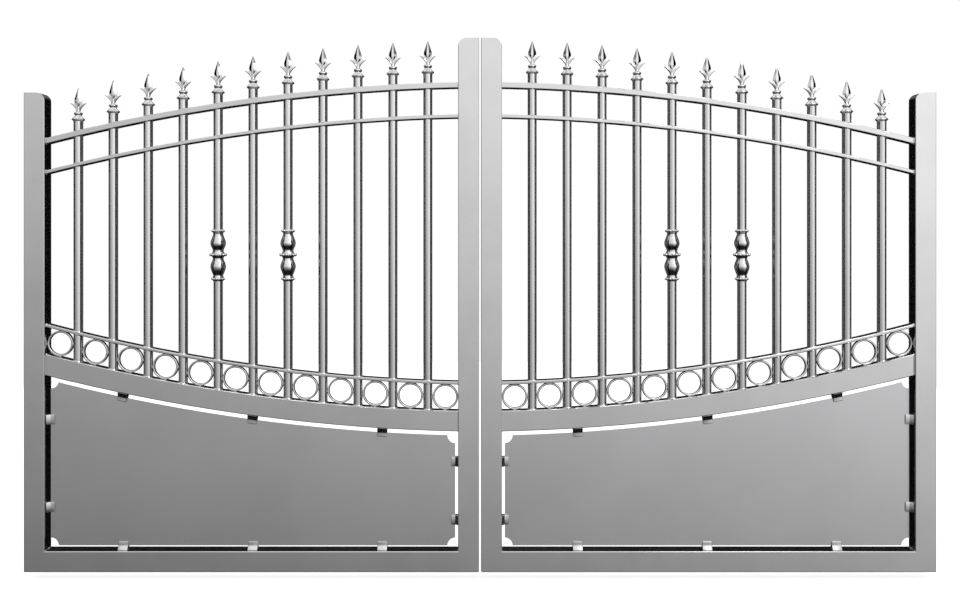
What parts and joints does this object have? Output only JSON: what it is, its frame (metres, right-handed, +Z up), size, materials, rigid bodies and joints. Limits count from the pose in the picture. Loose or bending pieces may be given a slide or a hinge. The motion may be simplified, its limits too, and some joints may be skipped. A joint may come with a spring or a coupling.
{
  "type": "double-leaf swing gate",
  "caption": "Double-leaf metal swing gate with arched rails, spear-topped bars, a row of rings and a clipped sheet panel, hung on wall brackets.",
  "frame": {"origin": "centre of the wall face of the left lower hinge bracket", "axes": "+X from the left pillar to the right one, seen from the front; +Y from the front to the back, the way the leaves open; +Z up"},
  "size_m": [3.57, 0.16, 2.05],
  "materials": {
    "tube_metal": "satin silver-grey",
    "sheet_metal": "satin silver-grey",
    "cast_metal": "satin silver-grey, brighter on the raised edges",
    "clip_metal": "satin silver-grey",
    "hinge_metal": "satin silver-grey"
  },
  "bodies": {
    "brackets": {"left_lower_bracket": "hinge_metal", "left_upper_bracket": "hinge_metal", "right_lower_bracket": "hinge_metal", "right_upper_bracket": "hinge_metal", "left_lower_pin": "hinge_metal", "left_upper_pin": "hinge_metal", "right_lower_pin": "hinge_metal", "right_upper_pin": "hinge_metal"},
    "left_leaf": {"left_outer_stile": "tube_metal", "left_meeting_stile": "tube_metal", "left_bottom_rail": "tube_metal", "left_stile_caps": "tube_metal", "left_mid_rail": "tube_metal", "left_ring_rail": "tube_metal", "left_second_rail": "tube_metal", "left_top_rail": "tube_metal", "left_bars": "tube_metal", "left_finials": "cast_metal", "left_knuckles": "cast_metal", "left_rings": "tube_metal", "left_panel": "sheet_metal", "left_top_clips": "clip_metal", "left_bottom_clips": "clip_metal", "left_side_clips": "clip_metal", "left_lower_hinge_eye": "hinge_metal", "left_upper_hinge_eye": "hinge_metal"},
    "right_leaf": {"right_outer_stile": "tube_metal", "right_meeting_stile": "tube_metal", "right_bottom_rail": "tube_metal", "right_stile_caps": "tube_metal", "right_mid_rail": "tube_metal", "right_ring_rail": "tube_metal", "right_second_rail": "tube_metal", "right_top_rail": "tube_metal", "right_bars": "tube_metal", "right_finials": "cast_metal", "right_knuckles": "cast_metal", "right_rings": "tube_metal", "right_panel": "sheet_metal", "right_top_clips": "clip_metal", "right_bottom_clips": "clip_metal", "right_side_clips": "clip_metal", "right_lower_hinge_eye": "hinge_metal", "right_upper_hinge_eye": "hinge_metal"}
  },
  "joints": [
    {"name": "left_leaf_swing", "type": "hinge", "parent": "brackets", "child": "left_leaf", "pos_m": [0.035, -0.032, 0], "axis": [0, 0, 1], "range_deg": [0, 90]},
    {"name": "right_leaf_swing", "type": "hinge", "parent": "brackets", "child": "right_leaf", "pos_m": [3.535, -0.032, 0], "axis": [0, 0, -1], "range_deg": [0, 90]}
  ]
}
